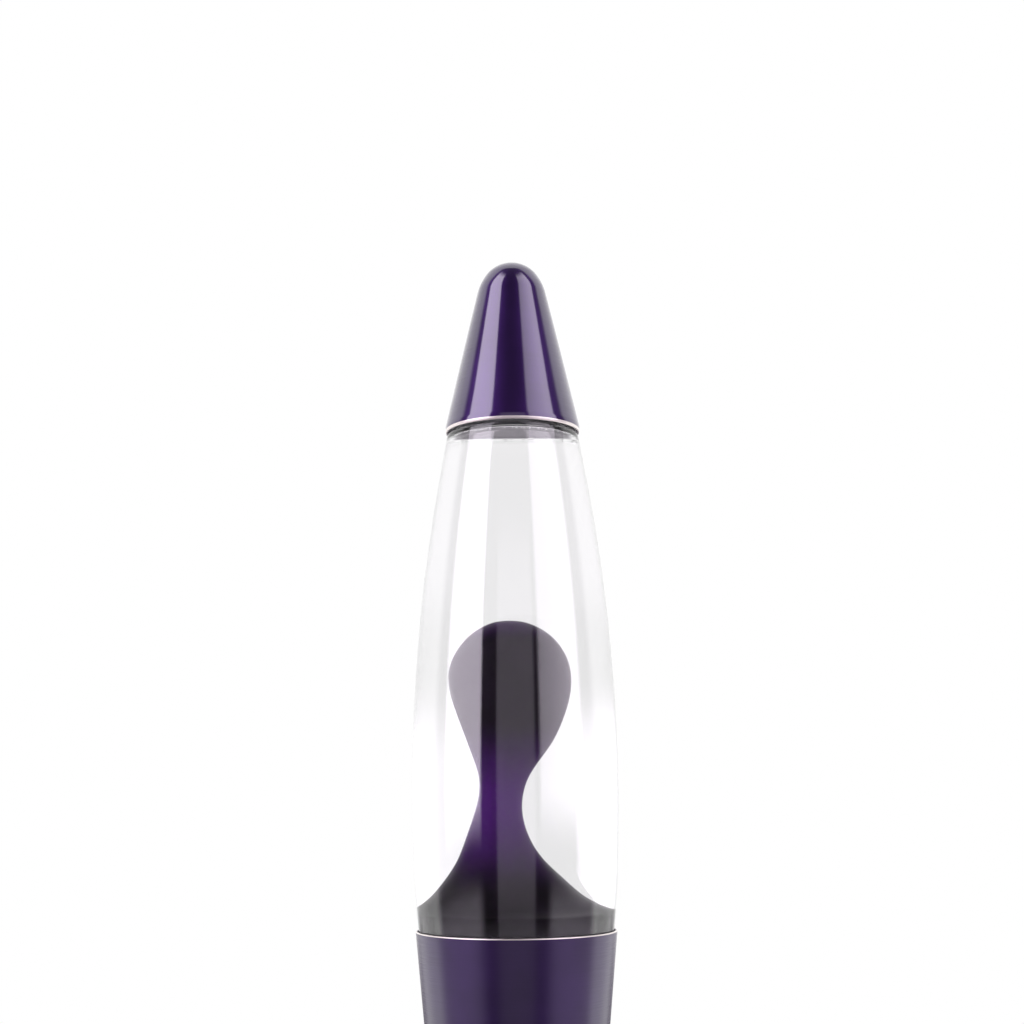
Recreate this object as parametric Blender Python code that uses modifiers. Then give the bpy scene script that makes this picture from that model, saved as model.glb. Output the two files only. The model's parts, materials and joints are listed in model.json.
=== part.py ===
"""Rocket-shaped lava lamp: spun base with its bulb, capped glass bottle of liquid and wax, bullet cap.

The lamp stands on z = 0 and turns about the Z axis. +Y is the rear, where the cable leaves.
Outlines are (radius, height) pairs in millimetres, and become metres when a mesh is made.
"""
import math

import bmesh
import bpy
from mathutils import Matrix, Vector

MM = 0.001
GAP = 0.3            # clearance between pieces that touch
ROUND = 32           # facets of the large turned pieces
FINE = 16            # facets of the small turned pieces
SCREW_FACETS = 10
HOLE_FACETS = 8
WAX_FACETS = 24

# Base: a spun hourglass, an upper cone and a lower cone joined by a waist fillet
RIM_Z = 139.0
RIM_R = 39.8
SHEET = 0.8
UPPER_TAPER = math.atan(0.0975)
LOWER_TAPER = math.radians(21.8)
WAIST_Z = 56.8
WAIST_FILLET = 18.0
FOOT_ROLL = 1.6      # outer radius of the rolled foot edge
FLANGE_Z = 5.7       # underside of the flange turned in at the foot
FLANGE_INNER_R = 38.0

# Feet, bottom cover and the bridge that carries the lampholder
FOOT_RING_R = 41.5
FOOT_R = 6.0
FOOT_H = 3.5
COVER_R = 47.5
COVER_Z = FOOT_H + GAP
COVER_T = 1.6
COVER_TOP = COVER_Z + COVER_T
BRIDGE_T = 1.2
BRIDGE_W = 18.0
BRIDGE_TOP = 16.9
BRIDGE_SCREW_X = 43.0
SCREW_R = 1.4
SCREW_HOLE_R = SCREW_R + GAP

# Lampholder and E14 reflector bulb
NIPPLE_R = 5.0
NIPPLE_BORE = 3.7
HOLDER_R = 14.0
HOLDER_FLOOR = 24.5
HOLDER_TOP = 52.0
CONTACT_Z = 29.0
BULB_R = 19.5
BULB_TOP = 95.0
THREAD_RIBS = 4

# Cable grommet in the rear of the lower cone, and the terminal block inside it
GROMMET_Z = 19.0
GROMMET_BORE = 4.0
BLOCK_SIZE = (24.0, 12.0, 10.0)
BLOCK_Y = 27.0
LEAD_R = 0.8
LEAD_X = 1.5

# Bottle: an ogive r(z) = WIDEST_R - (z - WIDEST_Z)^2 / (2 * OGIVE_R)
HEEL_Z = 112.0
HEEL_FILLET = 5.0
PUNT = 7.0
WIDEST_Z = 198.0
WIDEST_R = 41.35
OGIVE_R = 704.0
GLASS = 2.0
SHOULDER_Z = 337.0
MOUTH_Z = 378.0
LIP_R = 13.3
BORE_R = 10.0
LIQUID_Z = 337.2
WAX_WALL_Z = 145.0   # where the wax meets the bottle wall

# Cap: a cone with a bullet nose
CAP_Z = 340.0
APEX_Z = 414.2
CAP_TAPER = math.atan(0.2316)
CONE_R = 16.6        # cap radius at CONE_Z
CONE_Z = 391.8
NOSE_R = 13.5
NOSE_END = math.radians(35.0)

FLUTES = 21          # teeth of the crown closure


# ---------------------------------------------------------------- materials and placing

def finish(name, colour, roughness, metallic=0.0, transmission=0.0):
    made = bpy.data.materials.new(name)
    made.use_nodes = True
    shader = made.node_tree.nodes["Principled BSDF"]
    shader.inputs["Base Color"].default_value = (*colour, 1.0)
    shader.inputs["Roughness"].default_value = roughness
    shader.inputs["Metallic"].default_value = metallic
    shader.inputs["Transmission Weight"].default_value = transmission
    made.diffuse_color = (*colour, 1.0)
    return made


def clear_scene():
    for thing in list(bpy.data.objects):
        bpy.data.objects.remove(thing, do_unlink=True)


def make_collection(name):
    made = bpy.data.collections.new(name)
    bpy.context.scene.collection.children.link(made)
    return made


def place(thing, at, parent=None):
    """Put an object at a point given in the lamp's own millimetres, whatever it hangs from."""
    thing.location = Vector(at) * MM
    if parent is not None:
        thing.parent = parent
        thing.location -= parent.location
    return thing


def keep(name, data, look, at=(0, 0, 0), parent=None):
    thing = bpy.data.objects.new(name, data)
    PARTS.objects.link(thing)
    if look is not None:
        data.materials.append(look)
    return place(thing, at, parent)


def axis_empty(name, height):
    empty = bpy.data.objects.new(name, None)
    PARTS.objects.link(empty)
    empty.empty_display_size = 10 * MM
    return place(empty, (0, 0, height))


def as_cutter(thing):
    PARTS.objects.unlink(thing)
    CUTTERS.objects.link(thing)
    thing.hide_render = True
    thing.display_type = "WIRE"
    return thing


# ---------------------------------------------------------------- outlines

def arc(centre, radius, start, end, steps):
    """Points on a circle in the (radius, height) plane, angles in radians."""
    angles = [start + (end - start) * step / steps for step in range(steps + 1)]
    return [(centre[0] + radius * math.cos(a), centre[1] + radius * math.sin(a)) for a in angles]


def inset(outline, depth):
    """The outline moved to its right by depth: inwards, for an outer side that runs down."""
    moved = []
    for i, (r, z) in enumerate(outline):
        before = outline[max(i - 1, 0)]
        after = outline[min(i + 1, len(outline) - 1)]
        along = Vector((after[0] - before[0], after[1] - before[1])).normalized()
        moved.append((max(r + along.y * depth, 0.0), z - along.x * depth))
    return moved


def ribbed(top, bottom, crest, root, ribs):
    """The outer side of a thread drawn as rings, from top to bottom."""
    pitch = (top - bottom) / ribs
    points = [(root, top)]
    for rib in range(ribs):
        points.append((crest, top - (rib + 0.5) * pitch))
        points.append((root, top - (rib + 1) * pitch))
    return points


def cup_inner_r(z):
    """Inside radius of the base's upper cone at a height."""
    return RIM_R - SHEET - math.tan(UPPER_TAPER) * (RIM_Z - z)


def ogive(z):
    return WIDEST_R - (z - WIDEST_Z) ** 2 / (2 * OGIVE_R)


# ---------------------------------------------------------------- makers

def turned(name, outline, look, facets=ROUND, at=(0, 0, 0), parent=None):
    """A turned piece. The outline runs down its outer side, and closes unless it ends on the axis."""
    mesh = bpy.data.meshes.new(name)
    count = len(outline)
    links = [(i, i + 1) for i in range(count - 1)]
    if outline[0][0] > 0 and outline[-1][0] > 0:
        links.append((count - 1, 0))
    mesh.from_pydata([(r * MM, 0.0, z * MM) for r, z in outline], links, [])
    thing = keep(name, mesh, look, at, parent)
    screw = thing.modifiers.new("Turn", "SCREW")
    screw.axis = "Z"
    screw.angle = 2 * math.pi
    screw.steps = facets
    screw.render_steps = facets
    screw.use_merge_vertices = True
    screw.merge_threshold = 0.00001
    screw.use_smooth_shade = True
    return thing


def lofted(name, rings, look, facets, radius_at, parent=None):
    """A skin over rings (height, radius, offset in x); the first and last ring shrink to a point."""
    form = bmesh.new()
    loops = []
    for ring in rings:
        height, radius, shift = ring[:3]
        if radius == 0:
            loops.append([form.verts.new((shift * MM, 0, height * MM))])
            continue
        loop = []
        for step in range(facets):
            angle = 2 * math.pi * step / facets
            reach = radius_at(ring, angle)
            point = (shift + reach * math.cos(angle), reach * math.sin(angle), height)
            loop.append(form.verts.new(Vector(point) * MM))
        loops.append(loop)
    for upper, lower in zip(loops, loops[1:]):
        for step in range(facets):
            after = (step + 1) % facets
            if len(upper) == 1:
                form.faces.new((upper[0], lower[step], lower[after]))
            elif len(lower) == 1:
                form.faces.new((upper[step], lower[0], upper[after]))
            else:
                form.faces.new((upper[step], lower[step], lower[after], upper[after]))
    mesh = bpy.data.meshes.new(name)
    form.to_mesh(mesh)
    form.free()
    mesh.shade_smooth()
    return keep(name, mesh, look, parent=parent)


def outline_curve(name, outlines, thickness):
    """Flat outlines in XY, holes among them, filled and extruded to a thickness about z = 0."""
    curve = bpy.data.curves.new(name, "CURVE")
    curve.dimensions = "2D"
    curve.fill_mode = "BOTH"
    curve.extrude = thickness * MM / 2
    for outline in outlines:
        spline = curve.splines.new("POLY")
        spline.points.add(len(outline) - 1)
        spline.use_cyclic_u = True
        for point, (x, y) in zip(spline.points, outline):
            point.co = (x * MM, y * MM, 0, 1)
    return curve


def sheet_part(name, outlines, thickness, look, at, turn=None, parent=None):
    """An extruded outline as a closed mesh, ready to be cut."""
    curve = outline_curve(name, outlines, thickness)
    draft = bpy.data.objects.new(name + "_draft", curve)
    PARTS.objects.link(draft)
    bpy.context.view_layer.update()
    mesh = bpy.data.meshes.new_from_object(draft.evaluated_get(bpy.context.evaluated_depsgraph_get()))
    bpy.data.objects.remove(draft, do_unlink=True)
    form = bmesh.new()
    form.from_mesh(mesh)
    bmesh.ops.remove_doubles(form, verts=form.verts, dist=0.00001)
    bmesh.ops.recalc_face_normals(form, faces=form.faces)
    if turn is not None:
        bmesh.ops.transform(form, matrix=turn, verts=form.verts)
    form.to_mesh(mesh)
    form.free()
    mesh.name = name
    return keep(name, mesh, look, at, parent)


def circle(centre, radius, facets, phase=0.0):
    angles = [phase + 2 * math.pi * step / facets for step in range(facets)]
    return [(centre[0] + radius * math.cos(a), centre[1] + radius * math.sin(a)) for a in angles]


def strap(route, thickness):
    """The closed side view of a bent strip whose upper face follows a route."""
    lower = []
    for i, (x, z) in enumerate(route):
        before = Vector(route[max(i - 1, 0)])
        here = Vector((x, z))
        after = Vector(route[min(i + 1, len(route) - 1)])
        into = (here - before).normalized() if i else (after - here).normalized()
        out = (after - here).normalized() if i < len(route) - 1 else into
        middle = (into + out).normalized()
        normal = Vector((middle.y, -middle.x))
        depth = thickness / max(middle.dot(into), 0.5)
        lower.append(tuple(here + normal * depth))
    return list(route) + lower[::-1]


def wire(name, route, radius, look, parent=None, resolution=2):
    """A round wire along points given in millimetres."""
    curve = bpy.data.curves.new(name, "CURVE")
    curve.dimensions = "3D"
    curve.bevel_depth = radius * MM
    curve.bevel_resolution = resolution
    curve.use_fill_caps = True
    spline = curve.splines.new("POLY")
    spline.points.add(len(route) - 1)
    for point, place_at in zip(spline.points, route):
        point.co = (*(Vector(place_at) * MM), 1)
    return keep(name, curve, look, parent=parent)


def rounded_route(corners, radius, steps=3):
    """A route through corners, each bend rounded off over the given reach."""
    points = [Vector(corners[0])]
    for before, here, after in zip(corners, corners[1:], corners[2:]):
        here = Vector(here)
        into = (Vector(before) - here)
        out = (Vector(after) - here)
        start = here + into.normalized() * min(radius, into.length / 2)
        end = here + out.normalized() * min(radius, out.length / 2)
        for step in range(steps + 1):
            t = step / steps
            points.append((1 - t) ** 2 * start + 2 * t * (1 - t) * here + t ** 2 * end)
    points.append(Vector(corners[-1]))
    return points


def rod_cutter(name, at, radius, length, axis=(0, 0, 1), facets=16):
    """A cylinder that cuts a round hole, centred on a point."""
    form = bmesh.new()
    bmesh.ops.create_cone(form, cap_ends=True, segments=facets, radius1=radius * MM, radius2=radius * MM,
                          depth=length * MM)
    turn = Vector((0, 0, 1)).rotation_difference(Vector(axis)).to_matrix().to_4x4()
    bmesh.ops.transform(form, matrix=turn, verts=form.verts)
    mesh = bpy.data.meshes.new(name)
    form.to_mesh(mesh)
    form.free()
    return as_cutter(keep(name, mesh, None, at))


def cut(thing, cutter, operation="DIFFERENCE"):
    boolean = thing.modifiers.new(cutter.name, "BOOLEAN")
    boolean.operation = operation
    boolean.solver = "EXACT"
    boolean.object = cutter
    return thing


def screw(name, look, at, head_r, head_h, shank, head_up=True, parent=None):
    """A pan-head screw whose head bears on the point given; the shank runs the other way."""
    side = 1 if head_up else -1
    outline = [(0, head_h), (head_r * 0.7, head_h), (head_r, head_h * 0.55), (head_r, 0.0),
               (SCREW_R, 0.0), (SCREW_R, -shank + 0.6), (SCREW_R * 0.6, -shank), (0, -shank)]
    if side < 0:
        outline = [(r, -z) for r, z in reversed(outline)]
    return turned(name, outline, look, SCREW_FACETS, at, parent)


# ---------------------------------------------------------------- base

def base_outline():
    """Outer side of the base shell, from the rim down to the flange's inner edge."""
    tan_upper = math.tan(UPPER_TAPER)
    centre_r = (RIM_R - tan_upper * (RIM_Z - WAIST_Z)) + WAIST_FILLET / math.cos(UPPER_TAPER)
    waist = arc((centre_r, WAIST_Z), WAIST_FILLET, math.pi - UPPER_TAPER, math.pi + LOWER_TAPER, 5)
    foot_centre_z = FLANGE_Z + FOOT_ROLL
    cone_r = waist[-1][0] + math.tan(LOWER_TAPER) * (waist[-1][1] - foot_centre_z)
    foot_centre_r = cone_r - FOOT_ROLL / math.cos(LOWER_TAPER)
    foot = arc((foot_centre_r, foot_centre_z), FOOT_ROLL, LOWER_TAPER, -math.pi / 2, 3)
    return [(RIM_R, RIM_Z)] + waist + foot + [(FLANGE_INNER_R, FLANGE_Z)]


def lower_cone_r(z):
    """Outside radius of the base's lower cone at a height."""
    waist_end = base_outline()[6]
    return waist_end[0] + math.tan(LOWER_TAPER) * (waist_end[1] - z)


def foot_places():
    return [(FOOT_RING_R * math.cos(a), FOOT_RING_R * math.sin(a))
            for a in (math.radians(45 + 90 * quarter) for quarter in range(4))]


def build_base_shell():
    outer = base_outline()
    inner = inset(outer, SHEET)
    crest = (RIM_R - SHEET / 2, RIM_Z + 0.2)
    shell = turned("base_shell", outer + inner[::-1] + [crest], LOOKS["purple"])
    for number, (x, y) in enumerate(foot_places(), 1):
        cut(shell, rod_cutter(f"flange_hole_{number}", (x, y, FLANGE_Z), SCREW_HOLE_R, 8, facets=HOLE_FACETS))
    for number, side in enumerate((-1, 1), 1):
        at = (side * BRIDGE_SCREW_X, 0, FLANGE_Z)
        cut(shell, rod_cutter(f"bridge_hole_{number}", at, SCREW_HOLE_R, 4, facets=HOLE_FACETS))
    out = (0, math.cos(LOWER_TAPER), math.sin(LOWER_TAPER))
    cut(shell, rod_cutter("grommet_hole", (0, lower_cone_r(GROMMET_Z), GROMMET_Z), 5.5, 12, out, FINE))


def build_bottle_seat():
    """A pressed ring inside the cup, with a rubber gasket that the bottle's heel stands on."""
    top = HEEL_Z - 2 * GAP - 1.6
    plate = 1.2
    skirt = 4.6
    edge = cup_inner_r(top - plate) - GAP
    skirt_r = cup_inner_r(top - plate - skirt) - GAP
    turned("bottle_seat", [(edge, top), (edge, top - plate), (skirt_r, top - plate - 0.3),
                           (skirt_r, top - plate - skirt), (skirt_r - 1.0, top - plate - skirt),
                           (skirt_r - 1.0, top - plate), (28.5, top - plate), (28.5, top)],
           LOOKS["steel"])
    low = top + GAP
    turned("seat_gasket", [(34.8, low + 1.6), (35.2, low + 1.2), (35.2, low), (29.0, low),
                           (29.0, low + 1.2), (29.4, low + 1.6)], LOOKS["rubber"])


def build_bridge():
    """The bent strap across the foot that carries the lampholder, and its screws."""
    foot_top = FLANGE_Z + SHEET + GAP + BRIDGE_T
    half = [(24.0, BRIDGE_TOP), (37.5, foot_top), (47.3, foot_top)]
    route = [(-x, z) for x, z in reversed(half)] + half
    stand_up = Matrix.Rotation(math.pi / 2, 4, "X")
    bridge = sheet_part("holder_bridge", [strap(route, BRIDGE_T)], BRIDGE_W, LOOKS["zinc"],
                        (0, 0, 0), stand_up)
    cut(bridge, rod_cutter("nipple_hole", (0, 0, BRIDGE_TOP), NIPPLE_R + GAP, 8, facets=FINE))
    cut(bridge, rod_cutter("earth_hole", (20, 0, BRIDGE_TOP), SCREW_HOLE_R, 8, facets=HOLE_FACETS))
    for number, x in enumerate((-BRIDGE_SCREW_X, BRIDGE_SCREW_X), 1):
        hole = rod_cutter(f"bridge_foot_hole_{number}", (x, 0, foot_top), SCREW_HOLE_R, 4, facets=HOLE_FACETS)
        cut(bridge, hole)
        screw(f"bridge_screw_{number}", LOOKS["zinc"], (x, 0, foot_top + GAP), 2.6, 1.6,
              foot_top + GAP - FLANGE_Z - 0.02)


def build_bottom():
    """Vented bottom cover, and four rubber feet with their screws."""
    holes = [circle(place_at, SCREW_HOLE_R, HOLE_FACETS) for place_at in foot_places()]
    for number in range(12):
        angle = math.radians(15 + 30 * number)
        reach = 26.0 if number % 2 else 30.0
        holes.append(circle((reach * math.cos(angle), reach * math.sin(angle)), 2.6, HOLE_FACETS))
    holes.append(circle((0, BLOCK_Y), 2.3, HOLE_FACETS))
    sheet_part("bottom_cover", [circle((0, 0), COVER_R, ROUND)] + holes, COVER_T,
               LOOKS["black_plastic"], (0, 0, COVER_Z + COVER_T / 2))
    pad = [(FOOT_R - 0.5, FOOT_H), (FOOT_R, FOOT_H - 0.5), (FOOT_R - 0.4, 0.5), (FOOT_R - 0.9, 0.0),
           (3.4, 0.0), (3.4, 2.0), (SCREW_HOLE_R, 2.0), (SCREW_HOLE_R, FOOT_H)]
    for number, (x, y) in enumerate(foot_places(), 1):
        turned(f"rubber_foot_{number}", pad, LOOKS["rubber"], FINE, (x, y, 0))
        screw(f"foot_screw_{number}", LOOKS["zinc"], (x, y, 2.0 - GAP), 2.8, 1.1, 6.6, head_up=False)


def build_grommet():
    """Rubber grommet through the rear of the lower cone, square to the sheet."""
    sheet_r = 5.2
    lip_r = 7.0
    lip = 1.0
    sag = lip_r ** 2 / (2 * lower_cone_r(GROMMET_Z))
    outer_face = GAP
    inner_face = -SHEET - sag - GAP
    outline = [(lip_r - 0.5, outer_face + lip), (lip_r, outer_face + lip / 2), (lip_r, outer_face),
               (sheet_r, outer_face), (sheet_r, inner_face), (lip_r, inner_face),
               (lip_r, inner_face - lip / 2), (lip_r - 0.5, inner_face - lip),
               (GROMMET_BORE + 0.3, inner_face - lip), (GROMMET_BORE, inner_face),
               (GROMMET_BORE, outer_face), (GROMMET_BORE + 0.3, outer_face + lip)]
    grommet = turned("cable_grommet", outline, LOOKS["rubber"], FINE,
                     (0, lower_cone_r(GROMMET_Z), GROMMET_Z))
    grommet.rotation_euler.x = -(math.pi / 2 - LOWER_TAPER)


# ---------------------------------------------------------------- lampholder and wiring

def build_holder():
    floor = BRIDGE_TOP + GAP
    turned("threaded_nipple", [(NIPPLE_R, HOLDER_FLOOR + 0.4), (NIPPLE_R, 9.5), (NIPPLE_BORE, 9.5),
                               (NIPPLE_BORE, HOLDER_FLOOR + 0.4)], LOOKS["brass"], FINE)
    under = BRIDGE_TOP - BRIDGE_T - GAP
    turned("nipple_washer", [(9.0, under), (9.0, under - 1.0), (NIPPLE_R + GAP, under - 1.0),
                             (NIPPLE_R + GAP, under)], LOOKS["zinc"], FINE)
    nut_h = 2.8
    sheet_part("nipple_nut", [circle((0, 0), 8.6, 6), circle((0, 0), NIPPLE_R + GAP, FINE)], nut_h,
               LOOKS["brass"], (0, 0, under - 1.0 - GAP - nut_h / 2))
    turned("holder_base", [(HOLDER_R, 30.0), (HOLDER_R, floor), (NIPPLE_R + GAP, floor),
                           (NIPPLE_R + GAP, HOLDER_FLOOR), (11.8, HOLDER_FLOOR), (11.8, 30.0)],
           LOOKS["phenolic"], FINE)
    turned("holder_shell", [(HOLDER_R - 1.5, HOLDER_TOP), (HOLDER_R, HOLDER_TOP - 1.5),
                            (HOLDER_R, 30.0 + GAP), (8.6, 30.0 + GAP), (8.6, HOLDER_TOP - 0.6),
                            (9.2, HOLDER_TOP)], LOOKS["phenolic"], FINE)
    bore = ribbed(HOLDER_TOP - 1.5, 33.0, 7.5, 7.1, THREAD_RIBS)
    turned("holder_thread", [(8.2, HOLDER_TOP - 1.5), (8.2, 33.0)] + bore[::-1], LOOKS["brass"], FINE)
    tongue = [(-11.2, HOLDER_FLOOR + GAP + 0.5), (-5.6, HOLDER_FLOOR + GAP + 0.5),
              (-2.4, CONTACT_Z - GAP - 0.2), (0.6, CONTACT_Z - GAP), (2.2, CONTACT_Z - GAP - 0.8)]
    stand_up = Matrix.Rotation(math.pi / 2, 4, "X")
    sheet_part("holder_contact", [strap(tongue, 0.5)], 4.0, LOOKS["brass"], (0, 0, 0), stand_up)
    head = [(0, 1.6), (1.3, 1.6), (1.7, 1.1), (1.7, 0), (0, 0)]
    turned("holder_terminal_screw_1", head, LOOKS["zinc"], SCREW_FACETS,
           (-9.4, 0, HOLDER_FLOOR + 2 * GAP + 0.5))
    turned("holder_terminal_screw_2", head, LOOKS["zinc"], SCREW_FACETS, (9.4, 0, HOLDER_FLOOR + GAP))


def block_ways():
    return (-7.5, 0.0, 7.5)


def build_terminal_block():
    """Three-way block clipped into the bottom cover by a moulded stud, with its wire screws."""
    low = COVER_TOP + GAP
    centre = (0, BLOCK_Y, low + BLOCK_SIZE[2] / 2)
    form = bmesh.new()
    bmesh.ops.create_cube(form, size=1.0)
    bmesh.ops.scale(form, vec=Vector(BLOCK_SIZE) * MM, verts=form.verts)
    mesh = bpy.data.meshes.new("terminal_block")
    form.to_mesh(mesh)
    form.free()
    block = keep("terminal_block", mesh, LOOKS["white_plastic"], centre)
    cut(block, rod_cutter("block_stud", (0, BLOCK_Y, low - 1.2), 1.8, 3.0, facets=HOLE_FACETS), "UNION")
    front = BLOCK_Y - BLOCK_SIZE[1] / 2
    for number, x in enumerate(block_ways(), 1):
        way = (x, front, low + 4.0)
        cut(block, rod_cutter(f"wire_way_{number}", way, 1.9, 10.0, (0, 1, 0), HOLE_FACETS))
        cut(block, rod_cutter(f"screw_well_{number}", (x, BLOCK_Y, low + BLOCK_SIZE[2]), 2.1, 4.0,
                              facets=HOLE_FACETS))
        top = low + BLOCK_SIZE[2] - 2.0 + GAP
        turned(f"block_screw_{number}", [(0, 1.4), (1.5, 1.4), (1.7, 1.1), (1.7, 0), (0, 0)],
               LOOKS["zinc"], SCREW_FACETS, (x, BLOCK_Y, top))


def build_leads():
    """Two leads up through the nipple to the lampholder, and the earth lead to the bridge."""
    block_mouth = (BLOCK_Y - BLOCK_SIZE[1] / 2 + 3.0, COVER_TOP + GAP + 4.0)
    ways = dict(zip(("live", "neutral", "earth"), block_ways()))
    level = HOLDER_FLOOR + 1.5
    ends = {"live": [(-3.0, -3.4, level), (-8.6, -3.4, level)], "neutral": [(7.1, 0, level)]}
    for name, side in (("live", -1), ("neutral", 1)):
        corners = [(ways[name], *block_mouth), (ways[name], 12.0, block_mouth[1]),
                   (side * LEAD_X, 4.0, 7.4), (side * LEAD_X, 0, 7.4), (side * LEAD_X, 0, level)]
        wire(f"{name}_lead", rounded_route(corners + ends[name], 2.0), LEAD_R,
             LOOKS[f"{name}_sleeve"])
    tail = (20.0, -5.2, BRIDGE_TOP + GAP + 0.4)
    corners = [(ways["earth"], *block_mouth), (ways["earth"], 15.0, block_mouth[1]), (14.0, 12.8, 8.9),
               (22.0, 12.6, 12.0), (26.8, 12.4, 19.5), (27.0, 0.0, 20.5), (26.0, -5.2, 19.4),
               (23.4, tail[1], tail[2] + 0.4)]
    wire("earth_lead", rounded_route(corners, 3.0), LEAD_R, LOOKS["earth_sleeve"])
    neck = 1.4
    ring = [point for point in circle((0, 0), 3.4, 18, math.radians(-70)) if point[1] > -3.1]
    plate = ring + [(-neck, -6.6), (neck, -6.6)]
    plate.sort(key=lambda point: math.atan2(point[1] + 0.01, point[0]))
    sheet_part("earth_tag", [plate, circle((0, 0), SCREW_HOLE_R, HOLE_FACETS)], 0.8, LOOKS["brass"],
               (20.0, 0, BRIDGE_TOP + GAP + 0.4))
    screw("earth_screw", LOOKS["zinc"], (20.0, 0, BRIDGE_TOP + 2 * GAP + 0.8), 2.6, 1.6, 5.0)


# ---------------------------------------------------------------- bulb

def build_bulb():
    tip = axis_empty("bulb_rise_axis", CONTACT_Z)
    bulb = axis_empty("bulb_turn_axis", CONTACT_Z)
    turned("bulb_contact", [(0, 2.6), (1.6, 2.6), (2.3, 1.7), (2.3, 0.7), (1.4, 0.1), (0, 0.0)],
           LOOKS["solder"], FINE, (0, 0, CONTACT_Z), tip)
    turned("bulb_insulator", [(3.0, 5.2), (4.6, 4.6), (5.4, 4.0), (3.4, 2.4), (2.7, 2.0), (2.7, 3.0)],
           LOOKS["black_glass"], FINE, (0, 0, CONTACT_Z), bulb)
    outer = ribbed(HOLDER_TOP + 0.2, 35.2, 6.7, 6.3, THREAD_RIBS)
    shell = [(6.9, HOLDER_TOP + 1.4)] + outer + [(5.6, 34.0), (5.2, 34.0)]
    inner = [(r - 0.4, z) for r, z in reversed(outer)]
    turned("bulb_screw_cap", shell + inner + [(6.5, HOLDER_TOP + 1.4)], LOOKS["brass"], FINE,
           parent=bulb)
    flank = [(18.0, 79.5), (15.2, 73.5), (12.0, 67.5), (9.2, 62.0), (7.6, 57.6), (6.9, 55.2),
             (5.5, 53.2), (5.5, 48.6)]
    crown = arc((BULB_R - 6.0, BULB_TOP - 7.6), 6.0, math.radians(80), math.radians(-12), 4)
    face = [(0, BULB_TOP), (7.0, BULB_TOP - 0.4), (11.5, BULB_TOP - 1.1)]
    outside = face + crown + flank
    inside = inset(outside, 0.8)
    inside[0] = (0, BULB_TOP - 0.8)
    turned("bulb_glass", outside + inside[::-1], LOOKS["bulb_glass"], FINE, parent=bulb)
    turned("bulb_stem", [(0, 64), (1.4, 63.6), (1.8, 62.0), (2.4, 55.0), (2.8, 52.0), (4.1, 49.4),
                         (4.1, 48.6), (0, 48.6)], LOOKS["bulb_glass"], FINE, parent=bulb)
    filament_z = 77.4
    for number, side in enumerate((-1, 1), 1):
        wire(f"bulb_lead_wire_{number}",
             [(side * 1.0, 0, 64.5), (side * 1.2, 0, 67.0), (side * 4.2, 0, 73.0), (side * 4.8, 0, 76.0)],
             0.3, LOOKS["steel"], bulb)
    turns = 8
    steps = 6
    coil = []
    for step in range(turns * steps + 1):
        angle = 2 * math.pi * step / steps
        x = -5.2 + 10.4 * step / (turns * steps)
        coil.append((x, 0.7 * math.cos(angle), filament_z + 0.7 * math.sin(angle)))
    wire("bulb_filament", coil, 0.18, LOOKS["tungsten"], bulb, resolution=0)


# ---------------------------------------------------------------- bottle

def bottle_outside():
    """Outer side of the bottle, from the top of the lip down to the axis."""
    finish_ring = [(LIP_R - 0.6, MOUTH_Z), (LIP_R, MOUTH_Z - 0.8), (LIP_R, MOUTH_Z - 4.0),
                   (LIP_R - 0.9, MOUTH_Z - 5.2)]
    neck = [(12.6, 366.0), (13.2, 359.6), (14.6, 353.0), (17.2, 348.2), (20.8, 344.8)]
    shoulder = [(23.9, 342.4), (25.4, 341.1), (26.4, 340.0), (27.1, 339.0), (27.5, 338.0)]
    side = [(ogive(z), z) for z in (SHOULDER_Z, 318, 290, 260, 228, WIDEST_Z, 170, 152)]
    socket = [(cup_inner_r(z) - 0.35, z) for z in (RIM_Z, HEEL_Z + HEEL_FILLET)]
    socket[0] = (socket[0][0], RIM_Z + 0.5)
    heel_r = socket[-1][0] - HEEL_FILLET
    heel = arc((heel_r, HEEL_Z + HEEL_FILLET), HEEL_FILLET, 0, -math.pi / 2, 3)[1:]
    punt = [(heel_r - 2.4, HEEL_Z)]
    for share in (0.85, 0.55, 0.25, 0.0):
        punt.append(((heel_r - 2.4) * share, HEEL_Z + PUNT * math.cos(share * math.pi / 2)))
    return finish_ring + neck + shoulder + side + socket + heel + punt


def bottle_inside(clearance=0.0):
    """Inner side of the bottle from the axis up to the mouth, drawn in by a clearance."""
    floor_z = HEEL_Z + 2.8
    trough_r = 30.6
    floor = [(trough_r * share, floor_z + (PUNT - 0.4) * math.cos(share * math.pi / 2))
             for share in (0.0, 0.25, 0.55, 0.85)]
    heel = [(trough_r + 1.8, floor_z + 0.5), (34.2, 117.8), (35.0, 121.0)]
    lower = [(cup_inner_r(z) - 0.35 - GLASS, z) for z in (RIM_Z + 0.5,)]
    side = [(ogive(z) - GLASS, z) for z in (152, 170, WIDEST_Z, 228, 260, 290, 318, 335)]
    shoulder = [(25.0, LIQUID_Z), (23.6, 339.4), (21.2, 341.4), (17.8, 343.8), (14.4, 347.6), (12.0, 352.6),
                (10.6, 358.6), (BORE_R, 366.0), (BORE_R, MOUTH_Z - 0.8), (BORE_R + 0.7, MOUTH_Z)]
    points = floor + heel + lower + side + shoulder
    if clearance:
        count = points.index(shoulder[0]) + 1
        points = inset(points[:count], -clearance)
        points[0] = (0.0, points[0][1])
        points[-1] = (points[-1][0], LIQUID_Z)
    return [(max(r, 0.0), z) for r, z in points]


def wall_r(z):
    """Radius of the wax or liquid where it lies against the inside of the bottle."""
    outline = bottle_inside(GAP)
    for (low_r, low_z), (high_r, high_z) in zip(outline[4:], outline[5:]):
        if low_z <= z <= high_z:
            return low_r + (high_r - low_r) * (z - low_z) / (high_z - low_z)
    return outline[-1][0]


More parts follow.
